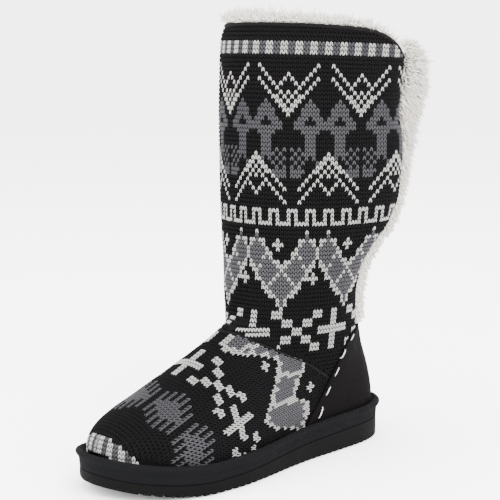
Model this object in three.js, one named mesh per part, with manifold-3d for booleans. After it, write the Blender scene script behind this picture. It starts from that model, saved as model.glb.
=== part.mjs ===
// A sweater boot for the left foot: knitted vamp and shaft, suede heel counter,
// plush back panel and collar, wrapped midsole and a ribbed foam outsole.
// Millimetres. The toe points to -Y, the heel to +Y, the outer side of the foot to +X, up is +Z.
// The origin lies on the floor under the middle of the sole's length.
import * as THREE from 'three';
import { mergeVertices } from 'three/addons/utils/BufferGeometryUtils.js';
import Module from 'manifold-3d';

const wasm = await Module();
wasm.setup();

// Driving dimensions
const SOLE_LENGTH = 266;
const HALF_LENGTH = SOLE_LENGTH / 2;
const MIDSOLE_HEIGHT = 14;
const MIDSOLE_LIP = 0.6;
const TOE_SPRING = 9;
const TOE_SPRING_START = 0.72;
const FEATHER_INSET = 5;
const KNIT_WALL = 3;
const COUNTER_WALL = 1.7;
const INSOLE_THICKNESS = 4;
const PLUSH_DEPTH = 6;
const GAP = 0.3;

// Outline of the sole: share of its length from heel to toe, and the outer and inner edge
const SOLE_OUTLINE = [
  { share: 0, outer: 0, inner: 0 },
  { share: 0.035, outer: 23.5, inner: -23.5 },
  { share: 0.08, outer: 31, inner: -31 },
  { share: 0.15, outer: 35.5, inner: -35.5 },
  { share: 0.25, outer: 37.5, inner: -36.5 },
  { share: 0.36, outer: 39, inner: -36 },
  { share: 0.48, outer: 43, inner: -37.5 },
  { share: 0.58, outer: 47.5, inner: -41.5 },
  { share: 0.67, outer: 50, inner: -46 },
  { share: 0.76, outer: 49.5, inner: -48.5 },
  { share: 0.84, outer: 45, inner: -47.5 },
  { share: 0.9, outer: 38, inner: -43 },
  { share: 0.95, outer: 28, inner: -35 },
  { share: 0.98, outer: 17, inner: -25 },
  { share: 1, outer: -4, inner: -4 },
];

// Thickness of the wedge-shaped outsole from heel to toe
const OUTSOLE_WEDGE = [
  { share: 0, thickness: 16 },
  { share: 0.35, thickness: 13.5 },
  { share: 0.6, thickness: 10 },
  { share: 1, thickness: 7 },
];

// Height of the foot's ridge line above the floor, and its sideways place, by station
const FOOT_RIDGE = [
  { y: -128, height: 29, side: -9 },
  { y: -126, height: 36, side: -9 },
  { y: -121, height: 42.5, side: -9 },
  { y: -112, height: 49, side: -9 },
  { y: -100, height: 54.5, side: -9 },
  { y: -85, height: 60.5, side: -8.7 },
  { y: -70, height: 67, side: -8.3 },
  { y: -50, height: 76.5, side: -7 },
  { y: -30, height: 87, side: -5 },
  { y: -15, height: 95.5, side: -3.5 },
  { y: 0, height: 106, side: -2 },
  { y: 20, height: 122, side: 0 },
  { y: 50, height: 150, side: 0 },
  { y: 85, height: 158, side: 0 },
  { y: 96, height: 140, side: 0 },
  { y: 107, height: 98, side: 0 },
  { y: 116, height: 74, side: 0 },
  { y: 122, height: 57, side: 0 },
  { y: 126, height: 42, side: 0 },
  { y: 128, height: 29, side: 0 },
];

// The leg by height: front and back lines, half width, and how square its back half is
const LEG_SECTIONS = [
  { z: 15, front: 18, back: 108, halfWidth: 25, squareness: 2.1 },
  { z: 45, front: 8, back: 111, halfWidth: 32, squareness: 2.1 },
  { z: 75, front: 2, back: 110, halfWidth: 38, squareness: 2.1 },
  { z: 100, front: -1, back: 106, halfWidth: 41, squareness: 2.1 },
  { z: 120, front: -1, back: 104, halfWidth: 43, squareness: 2.2 },
  { z: 136, front: -0.5, back: 106, halfWidth: 45, squareness: 2.4 },
  { z: 150, front: 0, back: 113, halfWidth: 48, squareness: 2.6 },
  { z: 168, front: 0, back: 128, halfWidth: 53, squareness: 2.8 },
  { z: 190, front: -0.5, back: 137, halfWidth: 56, squareness: 2.9 },
  { z: 225, front: -1, back: 140, halfWidth: 57, squareness: 2.9 },
  { z: 250, front: -1, back: 135, halfWidth: 57, squareness: 2.9 },
  { z: 288, front: -0.5, back: 140, halfWidth: 57, squareness: 2.9 },
  { z: 303, front: 1, back: 140, halfWidth: 57, squareness: 2.9 },
  { z: 318, front: 6, back: 139, halfWidth: 56, squareness: 2.8 },
  { z: 345, front: 5, back: 138, halfWidth: 55, squareness: 2.8 },
];
const FRONT_ROUNDNESS = 2.1;
const ARCH_POWER_ACROSS = 2.15;
const ARCH_POWER_UP = 1.95;
const ARCH_ROOT = 2.05;
const BLEND_RADIUS = 5;

// Seam between vamp and shaft, seen from the side, from the throat down to the feather line
const SEAM = [
  { y: -40, z: 112 },
  { y: -14, z: 97.5 },
  { y: -8, z: 93.5 },
  { y: 4, z: 86.5 },
  { y: 19, z: 79.5 },
  { y: 34, z: 72.5 },
  { y: 46, z: 65 },
  { y: 61, z: 55 },
  { y: 80, z: 40 },
  { y: 104, z: 18 },
];

// Top edge of the knit, seen from the side, which dips towards the back
const TOP_EDGE = [
  { y: -30, z: 315 },
  { y: 40, z: 311.5 },
  { y: 74, z: 309 },
  { y: 92, z: 305 },
  { y: 107, z: 299 },
  { y: 124, z: 290 },
  { y: 180, z: 284 },
];

// Front and top edge of the heel counter, seen from the side
const COUNTER_EDGE = [
  { y: 30, z: 14 },
  { y: 34, z: 26 },
  { y: 47, z: 40 },
  { y: 55.5, z: 52 },
  { y: 61, z: 62.6 },
  { y: 67, z: 73 },
  { y: 73, z: 82.5 },
  { y: 80, z: 87.5 },
  { y: 92, z: 89.5 },
  { y: 180, z: 93 },
];

// Half width of the plush back panel and the depth of its pile, by height
const BACK_PANEL = [
  { z: 86, halfWidth: 21, pile: 6 },
  { z: 130, halfWidth: 24, pile: 9 },
  { z: 170, halfWidth: 30, pile: 9.5 },
  { z: 215, halfWidth: 34, pile: 11 },
  { z: 235, halfWidth: 35, pile: 18 },
  { z: 258, halfWidth: 36, pile: 27 },
  { z: 280, halfWidth: 37, pile: 29 },
  { z: 292, halfWidth: 37, pile: 24 },
  { z: 304, halfWidth: 38, pile: 11 },
  { z: 330, halfWidth: 39, pile: 1 },
];
const PANEL_BOTTOM = 90.5;

// How far the plush of the collar stands above the knit's top edge, by angle round from the front
const COLLAR_RISE = [
  { turn: -180, rise: 7 },
  { turn: -100, rise: 8 },
  { turn: -40, rise: 11 },
  { turn: 0, rise: 12 },
  { turn: 25, rise: 8 },
  { turn: 70, rise: 5 },
  { turn: 130, rise: 6 },
  { turn: 180, rise: 7 },
];

// A smooth curve through one column of a table that never overshoots its rows
function curveThrough(rows, input, output) {
  const xs = rows.map((row) => row[input]);
  const ys = rows.map((row) => row[output]);
  const slopes = xs.slice(1).map((x, i) => (ys[i + 1] - ys[i]) / (x - xs[i]));
  const tangents = ys.map((_, i) => {
    if (i === 0) return slopes[0];
    if (i === ys.length - 1) return slopes[i - 1];
    const product = slopes[i - 1] * slopes[i];
    return product <= 0 ? 0 : (2 * product) / (slopes[i - 1] + slopes[i]);
  });
  return (value) => {
    const x = Math.min(Math.max(value, xs[0]), xs[xs.length - 1]);
    let i = 0;
    while (i < xs.length - 2 && x > xs[i + 1]) i += 1;
    const step = xs[i + 1] - xs[i];
    const t = (x - xs[i]) / step;
    const rise = (2 * t ** 3 - 3 * t ** 2 + 1) * ys[i] + (3 * t ** 2 - 2 * t ** 3) * ys[i + 1];
    const bend = (t ** 3 - 2 * t ** 2 + t) * tangents[i] + (t ** 3 - t ** 2) * tangents[i + 1];
    return rise + step * bend;
  };
}

// The outline is smooth in the angle whose cosine runs along the sole, so both ends come out round
const outlineByAngle = SOLE_OUTLINE.map((row) => ({ ...row, angle: Math.acos(1 - 2 * row.share) }));
const outerEdge = curveThrough(outlineByAngle, 'angle', 'outer');
const innerEdge = curveThrough(outlineByAngle, 'angle', 'inner');
const wedge = curveThrough(OUTSOLE_WEDGE, 'share', 'thickness');
const stationOf = (angle) => HALF_LENGTH * Math.cos(angle);
const shareOf = (y) => THREE.MathUtils.clamp((HALF_LENGTH - y) / SOLE_LENGTH, 0, 1);

// Height of the outsole's underside: flat on the floor, rising towards the toe
function floorLine(y) {
  const lift = Math.max(shareOf(y) - TOE_SPRING_START, 0) / (1 - TOE_SPRING_START);
  return TOE_SPRING * lift ** 2;
}

const glueLine = (y) => floorLine(y) + wedge(shareOf(y));
const featherLine = (y) => glueLine(y) + MIDSOLE_HEIGHT;

// A point of the sole's outline, moved outward square to the edge by an offset
function outlinePoint(angle, edge, side, offset) {
  const small = 0.01;
  const before = Math.max(angle - small, 0);
  const after = Math.min(angle + small, Math.PI);
  const dx = edge(after) - edge(before);
  const dy = stationOf(after) - stationOf(before);
  const length = Math.hypot(dx, dy);
  return [edge(angle) - (side * dy * offset) / length, stationOf(angle) + (side * dx * offset) / length];
}

// A closed ring round the sole, at an offset from the outline and a height that follows the station
function soleRing(offset, heightAt, steps) {
  const outer = [];
  const inner = [];
  for (let i = 0; i <= steps; i += 1) {
    const angle = (Math.PI * i) / steps;
    outer.push(outlinePoint(angle, outerEdge, 1, offset));
    inner.push(outlinePoint(angle, innerEdge, -1, offset));
  }
  const points = [...outer, ...inner.slice(1, -1).reverse()];
  return points.map(([x, y]) => [x, y, heightAt(y)]);
}

// Joins rings of equal count into one closed body. The end rings are closed across in strips,
// where point i faces point mirror - i on the ring's other side.
function loft(rings, mirror = 0) {
  const count = rings[0].length;
  const triangles = [];
  for (let ring = 0; ring < rings.length - 1; ring += 1) {
    for (let i = 0; i < count; i += 1) {
      const a = ring * count + i;
      const b = ring * count + ((i + 1) % count);
      triangles.push([a, b, b + count], [a, b + count, a + count]);
    }
  }
  const last = (rings.length - 1) * count;
  const closings = [];
  for (let i = 0; i < Math.floor(count / 2); i += 1) {
    const far = (count + mirror - i) % count;
    closings.push([i, far, i + 1], [i + 1, far, (far + count - 1) % count]);
  }
  for (const [a, b, c] of closings) {
    if (new Set([a, b, c]).size < 3) continue;
    triangles.push([a, b, c], [last + a, last + c, last + b]);
  }
  return solidFrom(rings.flat(), triangles);
}

// A solid of the boolean library from points and triangles, turned so that its faces point out
function solidFrom(points, triangles) {
  let volume = 0;
  for (const [a, b, c] of triangles) {
    const [p, q, r] = [a, b, c].map((i) => new THREE.Vector3(...points[i]));
    volume += p.dot(q.cross(r));
  }
  const facing = volume < 0 ? triangles.map(([a, b, c]) => [a, c, b]) : triangles;
  const mesh = new wasm.Mesh({
    numProp: 3,
    vertProperties: new Float32Array(points.flat()),
    triVerts: new Uint32Array(facing.flat()),
  });
  return new wasm.Manifold(mesh);
}

// A solid from a three.js geometry whose shared vertices are merged first
function solidOf(geometry) {
  const plain = geometry.clone();
  plain.deleteAttribute('normal');
  plain.deleteAttribute('uv');
  const merged = mergeVertices(plain, 1e-4);
  const mesh = new wasm.Mesh({
    numProp: 3,
    vertProperties: merged.attributes.position.array,
    triVerts: new Uint32Array(merged.index.array),
  });
  return new wasm.Manifold(mesh);
}

// The largest body of a cut solid, without the slivers that a cut can leave
function mainBody(solid) {
  return solid.decompose().sort((a, b) => b.volume() - a.volume())[0];
}

const PRISM_REACH = 400;

// A prism whose outline is drawn as the boot is seen from the side, through its whole width
function sidePrism(points) {
  const shape = new THREE.Shape(points.map(([y, z]) => new THREE.Vector2(y, z)));
  const geometry = new THREE.ExtrudeGeometry(shape, { depth: PRISM_REACH, bevelEnabled: false });
  geometry.translate(0, 0, -PRISM_REACH / 2);
  const turn = new THREE.Matrix4().makeBasis(
    new THREE.Vector3(0, 1, 0),
    new THREE.Vector3(0, 0, 1),
    new THREE.Vector3(1, 0, 0),
  );
  return solidOf(geometry.applyMatrix4(turn));
}

// A prism whose outline is drawn as the boot is seen from behind, through its back half
function backPrism(points, middle) {
  const shape = new THREE.Shape(points.map(([x, z]) => new THREE.Vector2(x, z)));
  const geometry = new THREE.ExtrudeGeometry(shape, { depth: PRISM_REACH, bevelEnabled: false });
  const turn = new THREE.Matrix4().makeBasis(
    new THREE.Vector3(1, 0, 0),
    new THREE.Vector3(0, 0, 1),
    new THREE.Vector3(0, -1, 0),
  );
  return solidOf(geometry.applyMatrix4(turn).translate(0, middle + PRISM_REACH, 0));
}

const ridgeHeight = curveThrough(FOOT_RIDGE, 'y', 'height');
const ridgeSide = curveThrough(FOOT_RIDGE, 'y', 'side');
const legFront = curveThrough(LEG_SECTIONS, 'z', 'front');
const legBack = curveThrough(LEG_SECTIONS, 'z', 'back');
const legHalfWidth = curveThrough(LEG_SECTIONS, 'z', 'halfWidth');
const legSquareness = curveThrough(LEG_SECTIONS, 'z', 'squareness');
const legMiddle = (z) => (legFront(z) + legBack(z)) / 2;
const FOOT_END = HALF_LENGTH - FEATHER_INSET - 0.1;

// Width of the upper on the sole at a station, from a fine walk along the inset outline
const featherWalk = [];
for (let i = 0; i <= 400; i += 1) {
  const angle = (Math.PI * i) / 400;
  const [outer, outerY] = outlinePoint(angle, outerEdge, 1, -FEATHER_INSET);
  const [inner, innerY] = outlinePoint(angle, innerEdge, -1, -FEATHER_INSET);
  featherWalk.push({ outer, outerY, inner, innerY });
}

function featherEdge(y, column) {
  const along = `${column}Y`;
  const next = featherWalk.findIndex((row) => row[along] <= y);
  if (next <= 0) return ridgeSide(y);
  const a = featherWalk[next - 1];
  const b = featherWalk[next];
  const t = (a[along] - y) / (a[along] - b[along] || 1);
  return a[column] + t * (b[column] - a[column]);
}

// Distance-like value that is zero on the leg: ellipses by height, squarer in the back half
function legValue(x, y, z) {
  const middle = legMiddle(z);
  const halfDepth = (legBack(z) - legFront(z)) / 2;
  const power = y > middle ? legSquareness(z) : FRONT_ROUNDNESS;
  const sum = Math.abs(x / legHalfWidth(z)) ** power + Math.abs((y - middle) / halfDepth) ** power;
  return Math.hypot(x, y - middle) * (1 - 1 / Math.max(sum ** (1 / power), 1e-6));
}

// Distance-like value that is zero on the foot: an arch over the sole at every station
function footValue(x, y, z) {
  const station = THREE.MathUtils.clamp(y, -FOOT_END, FOOT_END);
  const ridge = ridgeSide(station);
  const across = x - ridge;
  const edge = across >= 0 ? featherEdge(station, 'outer') - ridge : ridge - featherEdge(station, 'inner');
  const base = featherLine(station);
  const up = Math.max(z - base, 0);
  const rise = Math.max(ridgeHeight(station) - base, 0.5);
  const sum = Math.abs(across / Math.max(edge, 0.5)) ** ARCH_POWER_ACROSS + (up / rise) ** ARCH_POWER_UP;
  const value = Math.hypot(across, up) * (1 - 1 / Math.max(sum ** (1 / ARCH_ROOT), 1e-6));
  return value + Math.max(Math.abs(y) - FOOT_END, 0);
}

// The upper's surface: leg and foot joined with a soft fillet
function upperValue(x, y, z) {
  const leg = legValue(x, y, z);
  const foot = footValue(x, y, z);
  const share = THREE.MathUtils.clamp(0.5 + (0.5 * (leg - foot)) / BLEND_RADIUS, 0, 1);
  return leg * (1 - share) + foot * share - BLEND_RADIUS * share * (1 - share);
}

// Walks a ray out from a point inside the upper to where its surface value reaches the offset
function surfaceAlong(from, direction, offset, limit) {
  let near = 0;
  let far = limit;
  for (let i = 0; i < 26; i += 1) {
    const middle = (near + far) / 2;
    const point = from.map((value, axis) => value + direction[axis] * middle);
    if (upperValue(...point) < offset) near = middle;
    else far = middle;
  }
  return from.map((value, axis) => value + direction[axis] * near);
}

const FOOT_STATIONS = 22;
const ARCH_STEPS = 18;
const FOOT_BACK = 100;
const BELOW_FEATHER = 12;

// The foot as a solid: arches from toe to heel, the ankle left high for the seam to cut
function footForm(offset) {
  const rings = [];
  const toe = -(FOOT_END + offset) + 0.1;
  for (let i = 0; i <= FOOT_STATIONS; i += 1) {
    const y = toe + (FOOT_BACK - toe) * (1 - Math.cos((Math.PI * i) / (2 * FOOT_STATIONS))) ** 0.9;
    const station = Math.max(y, -FOOT_END);
    const from = [ridgeSide(station), y, featherLine(station)];
    const halfWidth = Math.max(featherEdge(station, 'outer') - from[0], 1);
    const rise = Math.min(Math.max(ridgeHeight(station) - from[2], 1), 75);
    const arch = [];
    for (let j = 0; j <= ARCH_STEPS; j += 1) {
      const angle = (Math.PI * j) / ARCH_STEPS;
      const length = Math.hypot(halfWidth * Math.cos(angle), rise * Math.sin(angle));
      const direction = [(halfWidth * Math.cos(angle)) / length, 0, (rise * Math.sin(angle)) / length];
      arch.push(surfaceAlong(from, direction, offset, 75));
    }
    const first = arch[0];
    const last = arch[ARCH_STEPS];
    rings.push([[first[0], y, first[2] - BELOW_FEATHER], ...arch, [last[0], y, last[2] - BELOW_FEATHER]]);
  }
  return loft(rings, -1);
}

const LEG_STEPS = 34;
const LEG_HEIGHTS = [14, 32, 48, 58, 66, 73, 80, 86, 92, 98, 108, 122, 136, 149, 162, 178, 200, 228, 250, 274,
  304, 340];
const SEAM_MARGIN = 16;
const seamStation = curveThrough([...SEAM].reverse(), 'z', 'y');

// The leg and heel as a solid: rings by height, with an offset that may change across and up.
// In front each ring stops at a station, as a rule a little past the seam, where the foot takes over.
const pastSeam = (z) => Math.max(seamStation(z + SEAM_MARGIN), -24);
function legForm(offsetAt, heights = LEG_HEIGHTS, frontAt = pastSeam) {
  const rings = heights.map((z) => {
    const middle = legMiddle(z);
    const halfDepth = (legBack(z) - legFront(z)) / 2;
    const ring = [];
    for (let i = 0; i < LEG_STEPS; i += 1) {
      const angle = (2 * Math.PI * i) / LEG_STEPS;
      const [x, y] = [legHalfWidth(z) * Math.sin(angle), -halfDepth * Math.cos(angle)];
      const length = Math.hypot(x, y);
      const direction = [x / length, y / length, 0];
      const limit = y < 0 ? Math.min(120, (middle - frontAt(z)) / -direction[1]) : 120;
      const onLeg = surfaceAlong([0, middle, z], direction, 0, limit);
      ring.push(surfaceAlong([0, middle, z], direction, offsetAt(onLeg[0], z), limit));
    }
    return ring;
  });
  return loft(rings);
}

// Points of a table's curve from one value to another, for the outline of a prism
function pointsAlong(rows, from, to, steps, lift) {
  const curve = curveThrough(rows, 'y', 'z');
  return Array.from({ length: steps + 1 }, (_, i) => {
    const y = from + ((to - from) * i) / steps;
    return [y, curve(y) + lift];
  });
}

// Everything above the feather line, where the upper's lower edge stands on the midsole
const SEAT_STEPS = 24;
const seatLine = Array.from({ length: SEAT_STEPS + 1 }, (_, i) => {
  const y = -140 + (280 * i) / SEAT_STEPS;
  return [y, featherLine(y) - MIDSOLE_LIP + 1.5 * GAP];
});
const aboveSole = sidePrism([...seatLine, [180, 30], [180, 400], [-180, 400], [-180, 30]]);

// Below and in front of the seam lies the vamp, above and behind it the shaft
function belowSeam(lift) {
  return sidePrism([[-180, 0], [104, 0], ...pointsAlong(SEAM, 104, -40, 18, lift), [-180, 190]]);
}

function belowTop(lift) {
  return sidePrism([[-60, 0], [180, 0], ...pointsAlong(TOP_EDGE, 180, -30, 18, lift), [-60, 316]]);
}

// The gap in the knit at the back, which the plush panel fills
const panelHalfWidth = curveThrough(BACK_PANEL, 'z', 'halfWidth');
const panelPile = curveThrough(BACK_PANEL, 'z', 'pile');
function panelGap(margin) {
  const heights = Array.from({ length: 13 }, (_, i) => PANEL_BOTTOM - margin + ((340 - PANEL_BOTTOM) * i) / 12);
  const right = heights.map((z) => [panelHalfWidth(z) + margin, z]);
  const left = heights.map((z) => [-panelHalfWidth(z) - margin, z]).reverse();
  return backPrism([...right, ...left], 66);
}

const footOuter = footForm(0);
const footInner = footForm(-KNIT_WALL);
const legOuter = legForm(() => 0);
const legInner = legForm(() => -KNIT_WALL, LEG_HEIGHTS, (z) => pastSeam(z) - 2 * KNIT_WALL);

function makeVamp() {
  return footOuter.subtract(footInner).intersect(belowSeam(0)).intersect(aboveSole);
}

function makeShaft() {
  const wall = legOuter.subtract(legInner).subtract(belowSeam(GAP)).intersect(aboveSole);
  return wall.intersect(belowTop(0)).subtract(panelGap(GAP));
}

const COUNTER_HEIGHTS = LEG_HEIGHTS.filter((z) => z < 110);
const COUNTER_FRONT = 26;

// The area of the heel counter, seen from the side
function counterArea(lift) {
  return sidePrism([...pointsAlong(COUNTER_EDGE, 30, 180, 30, lift), [180, 0], [30, 0]]);
}

// The heel counter lies on the vamp and shaft, between two larger forms of the same surface
function makeCounter() {
  const outside = legForm(() => GAP + COUNTER_WALL, COUNTER_HEIGHTS, () => COUNTER_FRONT);
  const core = legForm(() => GAP, COUNTER_HEIGHTS, () => COUNTER_FRONT - 5);
  const inside = core.add(legForm(() => GAP, COUNTER_HEIGHTS)).add(footForm(GAP));
  return mainBody(outside.subtract(inside).intersect(counterArea(0)).intersect(aboveSole));
}

// A lock of pile: a slim four-sided cone from its root along a direction
function lock(root, direction, radius, length) {
  const cone = new THREE.ConeGeometry(radius, length, 4);
  cone.translate(0, length * 0.35, 0);
  const axis = new THREE.Vector3(...direction).normalize();
  const turn = new THREE.Quaternion().setFromUnitVectors(new THREE.Vector3(0, 1, 0), axis);
  cone.applyQuaternion(turn);
  cone.translate(...root);
  return solidOf(cone);
}

const PANEL_HEIGHTS = [80, 104, 124, 140, 154, 170, 190, 212, 228, 244, 262, 280, 292, 300, 340];
const PANEL_OVERLAP = 4;
const LOCK_ROWS = 10;
const LOCK_ROW_PITCH = 18.5;

// Depth of the back panel's pile over the leg's surface: a dome that falls off at its two long edges
const PILE_ROUNDNESS = 4;
const PILE_EDGE_SINK = 1.5;
function pileDepth(x, z) {
  const across = Math.min(Math.abs(x) / (panelHalfWidth(z) + PANEL_OVERLAP), 1);
  return panelPile(z) * Math.sqrt(1 - across ** PILE_ROUNDNESS) - PILE_EDGE_SINK * across ** 8;
}

// The plush back panel: deep pile that rolls over the knit's edges, with hanging locks
function makeBackPanel() {
  let body = legForm(pileDepth, PANEL_HEIGHTS);
  for (let row = 0; row < LOCK_ROWS; row += 1) {
    const z = 106 + row * LOCK_ROW_PITCH;
    for (let column = -2; column <= 2; column += 1) {
      const angle = Math.PI + 0.24 * column + (row % 2 ? 0.1 : -0.1);
      const direction = [Math.sin(angle), -Math.cos(angle), 0];
      const onLeg = surfaceAlong([0, legMiddle(z), z], direction, 0, 160);
      const root = surfaceAlong([0, legMiddle(z), z], direction, pileDepth(onLeg[0], z) - 2, 160);
      body = body.add(lock(root, [direction[0], direction[1], -0.9], 5.2, 11));
    }
  }
  const knit = legForm(() => GAP).subtract(panelGap(0));
  const footprint = backPrism([[-47, PANEL_BOTTOM], [47, PANEL_BOTTOM], [47, 306], [-47, 306]], 66);
  const outline = footprint.intersect(belowTop(9)).subtract(counterArea(2 * GAP));
  const inside = legForm(() => GAP - KNIT_WALL);
  return mainBody(body.intersect(outline).subtract(knit).subtract(inside));
}

const COLLAR_HEIGHTS = LEG_HEIGHTS.filter((z) => z > 230);
const COLLAR_LOCKS = 34;
const COLLAR_DROP = 34;

// The collar's plush: a soft ring inside the knit's top edge that stands up in locks
function makeCollarPlush() {
  const rise = curveThrough(COLLAR_RISE, 'turn', 'rise');
  const top = curveThrough(TOP_EDGE, 'y', 'z');
  const outside = legForm(() => -KNIT_WALL - GAP, COLLAR_HEIGHTS);
  const inside = legForm(() => -KNIT_WALL - GAP - PLUSH_DEPTH, COLLAR_HEIGHTS);
  let ring = outside.subtract(inside).intersect(belowTop(3)).subtract(belowTop(-COLLAR_DROP));
  for (let i = 0; i < COLLAR_LOCKS; i += 1) {
    const angle = (2 * Math.PI * i) / COLLAR_LOCKS;
    const direction = [Math.sin(angle), -Math.cos(angle), 0];
    const root = surfaceAlong([0, legMiddle(300), 300], direction, -KNIT_WALL - GAP - PLUSH_DEPTH / 2, 120);
    const length = rise(THREE.MathUtils.radToDeg(Math.atan2(direction[0], -direction[1]))) + (i % 3) - 1;
    const lean = 0.06 + 0.16 * Math.cos(angle);
    const way = [direction[0] * lean, direction[1] * lean, 1];
    ring = ring.add(lock([root[0], root[1], top(root[1]) + 3], way, 2.8, length));
  }
  return ring;
}

const SOLE_STEPS = 24;
const TREAD_PITCH = 8.5;
const TREAD_WIDTH = 2.5;
const TREAD_DEPTH = 1.7;
const TREAD_ROWS = 14;

// The foam outsole: a wedge, thicker under the heel, with ribs across its tread
function makeOutsole() {
  const body = loft([
    soleRing(-1.6, floorLine, SOLE_STEPS),
    soleRing(0, (y) => floorLine(y) + 3, SOLE_STEPS),
    soleRing(0, (y) => glueLine(y) - 1, SOLE_STEPS),
    soleRing(-0.8, glueLine, SOLE_STEPS),
  ]);
  let ribbed = body;
  for (let i = -TREAD_ROWS; i < TREAD_ROWS; i += 1) {
    const y = (i + 0.5) * TREAD_PITCH;
    const slope = Math.atan2(floorLine(y - 1) - floorLine(y + 1), 2);
    const groove = new THREE.BoxGeometry(150, TREAD_WIDTH, 2 * TREAD_DEPTH);
    groove.rotateX(-slope);
    groove.translate(0, y, floorLine(y));
    ribbed = ribbed.subtract(solidOf(groove));
  }
  return ribbed;
}

// Offset and share of the height of the wrapped midsole's side, up to its round rim bead
const MIDSOLE_SIDE = [
  { share: 0, offset: -0.6 },
  { share: 0.08, offset: 0 },
  { share: 0.5, offset: 0.6 },
  { share: 0.66, offset: 2.2 },
  { share: 0.78, offset: 3.2 },
  { share: 0.9, offset: 2.9 },
  { share: 0.98, offset: 1.4 },
  { share: 1, offset: 0 },
  { share: 0.985, offset: -1.6 },
];

function makeMidsole() {
  const rings = MIDSOLE_SIDE.map(({ share, offset }) => {
    const heightAt = (y) => glueLine(y) + GAP + (MIDSOLE_HEIGHT - GAP) * share;
    return soleRing(offset, heightAt, SOLE_STEPS);
  });
  rings.push(soleRing(-3, (y) => featherLine(y) - MIDSOLE_LIP, SOLE_STEPS));
  return loft(rings);
}

function makeInsole() {
  const seat = (y) => featherLine(y) - MIDSOLE_LIP + GAP;
  const inset = -FEATHER_INSET - KNIT_WALL - 1;
  const slab = loft([
    soleRing(inset, seat, 20),
    soleRing(inset, (y) => seat(y) + INSOLE_THICKNESS - 1, 20),
    soleRing(inset - 1, (y) => seat(y) + INSOLE_THICKNESS, 20),
  ]);
  return slab;
}

// A named mesh with its own material from a finished solid
function piece(name, solid, colour, roughness) {
  const { vertProperties, triVerts } = solid.getMesh();
  const geometry = new THREE.BufferGeometry();
  geometry.setAttribute('position', new THREE.BufferAttribute(vertProperties, 3));
  geometry.setIndex(new THREE.BufferAttribute(triVerts, 1));
  geometry.computeVertexNormals();
  const material = new THREE.MeshStandardMaterial({ color: colour, roughness, metalness: 0 });
  const mesh = new THREE.Mesh(geometry, material);
  mesh.name = name;
  return mesh;
}

const boot = new THREE.Group();
boot.name = 'sweater_boot';
boot.add(
  piece('outsole', makeOutsole(), 0x2b2b2b, 0.85),
  piece('midsole', makeMidsole(), 0x29292b, 0.8),
  piece('insole', makeInsole(), 0xe2dfd8, 0.95),
  piece('vamp', makeVamp(), 0x232225, 0.95),
  piece('shaft', makeShaft(), 0x232225, 0.95),
  piece('heel_counter', makeCounter(), 0x252526, 0.9),
  piece('back_panel', makeBackPanel(), 0xf0efec, 0.95),
  piece('collar_plush', makeCollarPlush(), 0xf0efec, 0.95),
);

export default boot;
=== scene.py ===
import bpy
import numpy as np
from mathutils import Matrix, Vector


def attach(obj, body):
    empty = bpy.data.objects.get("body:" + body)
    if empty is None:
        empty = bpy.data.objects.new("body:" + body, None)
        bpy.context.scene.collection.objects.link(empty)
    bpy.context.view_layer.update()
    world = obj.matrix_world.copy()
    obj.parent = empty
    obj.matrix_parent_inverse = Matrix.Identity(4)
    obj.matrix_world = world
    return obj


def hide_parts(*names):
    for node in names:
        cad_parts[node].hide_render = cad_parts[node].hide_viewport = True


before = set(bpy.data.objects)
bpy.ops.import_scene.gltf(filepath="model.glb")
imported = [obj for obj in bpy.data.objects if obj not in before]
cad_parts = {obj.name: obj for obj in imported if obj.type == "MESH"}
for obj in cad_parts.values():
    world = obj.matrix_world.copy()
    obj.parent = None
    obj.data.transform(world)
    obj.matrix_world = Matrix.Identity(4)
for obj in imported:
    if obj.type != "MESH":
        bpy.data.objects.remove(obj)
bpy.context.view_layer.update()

# Shaft: the knitted leg
# A tube of patterned knit in four wool yarns over a plush lining, sewn to the vamp along the seam. Leg and
# foot are one surface pulled over a last: ellipses by height and arches over the sole, with a soft fillet.
SOLE_LENGTH = 266.0
HALF_LENGTH = SOLE_LENGTH / 2
MIDSOLE_HEIGHT = 14.0
FEATHER_INSET = 5.0
FOOT_END = HALF_LENGTH - FEATHER_INSET - 0.1
TOE_SPRING = 9.0
SPRING_START = 0.72
FRONT_SQUARENESS = 2.1
ARCH_SIDE_POWER = 2.15
ARCH_TOP_POWER = 1.95
BLEND_RADIUS = 5.0
SKIRT = 3.0
OUTLINE_STEPS = 401
ANGLE_STEP = 0.01
RAY_HALVINGS = 24
EDGE_HALVINGS = 20
MILLIMETRE = 0.001

# share of the length from heel to toe, outer edge, inner edge
SOLE_OUTLINE = np.array([
    [0, 0, 0], [0.035, 23.5, -23.5], [0.08, 31, -31], [0.15, 35.5, -35.5], [0.25, 37.5, -36.5],
    [0.36, 39, -36], [0.48, 43, -37.5], [0.58, 47.5, -41.5], [0.67, 50, -46], [0.76, 49.5, -48.5],
    [0.84, 45, -47.5], [0.9, 38, -43], [0.95, 28, -35], [0.98, 17, -25], [1, -4, -4],
])
# share of the length, thickness of the outsole
OUTSOLE_WEDGE = np.array([[0, 16], [0.35, 13.5], [0.6, 10], [1, 7]])
# station, ridge height, ridge's sideways place
FOOT_RIDGE = np.array([
    [-128, 29, -9], [-126, 36, -9], [-121, 42.5, -9], [-112, 49, -9], [-100, 54.5, -9], [-85, 60.5, -8.7],
    [-70, 67, -8.3], [-50, 76.5, -7], [-30, 87, -5], [-15, 95.5, -3.5], [0, 106, -2], [20, 122, 0],
    [50, 150, 0], [85, 158, 0], [96, 140, 0], [107, 98, 0], [116, 74, 0], [122, 57, 0], [126, 42, 0],
    [128, 29, 0],
])
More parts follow.
